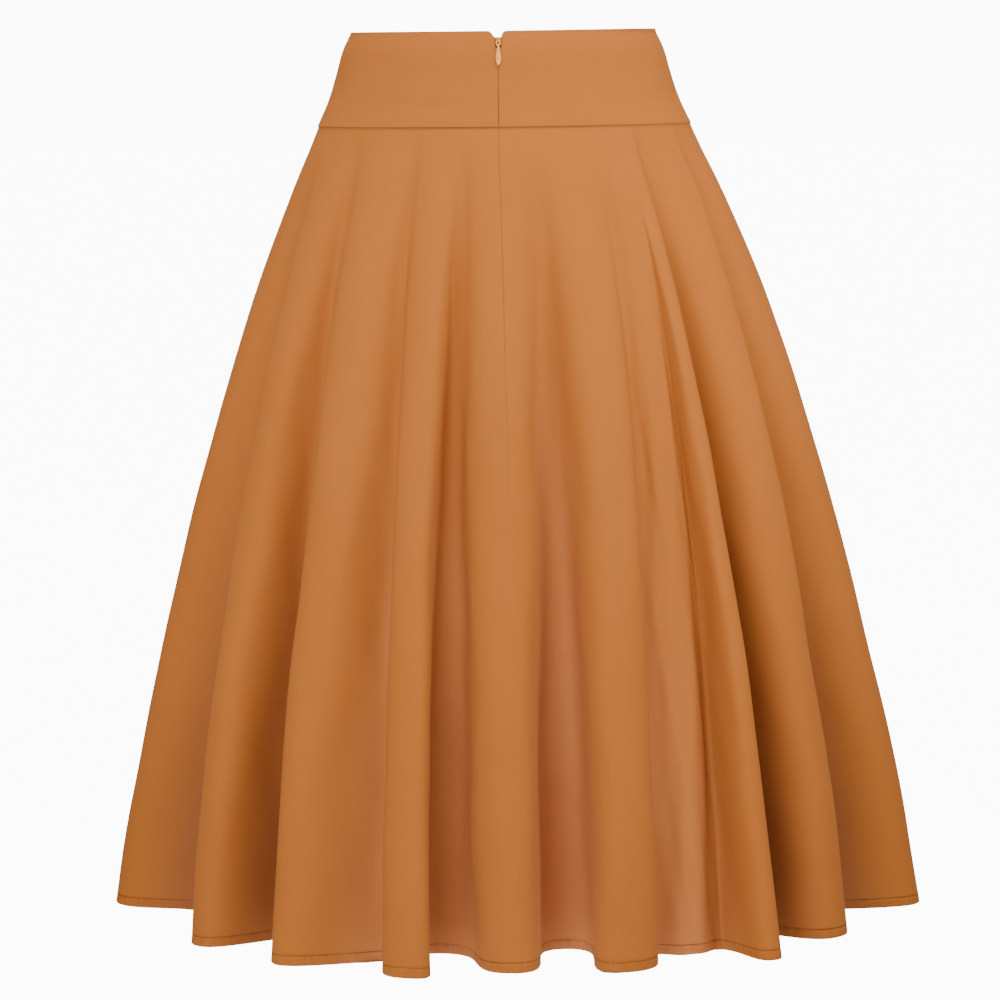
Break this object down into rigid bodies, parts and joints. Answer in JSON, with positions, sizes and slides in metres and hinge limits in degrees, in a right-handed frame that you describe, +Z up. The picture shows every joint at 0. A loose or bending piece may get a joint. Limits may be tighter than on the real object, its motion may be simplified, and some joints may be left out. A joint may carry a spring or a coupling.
{
  "type": "flared midi skirt",
  "caption": "High-waisted flared midi skirt with soft folds, a wide plain waistband, a closed back zip with a hanging pull, and a narrow stitched hem.",
  "frame": {"origin": "centre of the waistband's top edge, where the wearer's waist holds the skirt", "axes": "+Z up towards the waist, -Y towards the wearer's back with the zip, -X towards the wearer's left"},
  "size_m": [0.658, 0.5687, 0.707],
  "materials": {
    "skirt_cloth": "smooth plain weave with a slight sheen, rust orange",
    "band_cloth": "the same plain weave, interfaced and smooth",
    "zip_tape": "fine knitted tape, matt",
    "slider_enamel": "satin enamel in the cloth's colour",
    "pull_enamel": "glossy pale copper enamel"
  },
  "bodies": {
    "skirt": {"skirt_front": "skirt_cloth", "skirt_back_left": "skirt_cloth", "skirt_back_right": "skirt_cloth", "waistband_front": "band_cloth", "waistband_back_left": "band_cloth", "waistband_back_right": "band_cloth", "zip_tape": "zip_tape", "zip_slider": "slider_enamel"},
    "pull": {"zip_pull": "pull_enamel"}
  },
  "joints": [
    {"name": "pull_swing", "type": "hinge", "parent": "skirt", "child": "pull", "pos_m": [-0.00395, -0.09904, -0.0071], "axis": [-1, 0, 0], "range_deg": [0, 165]}
  ]
}
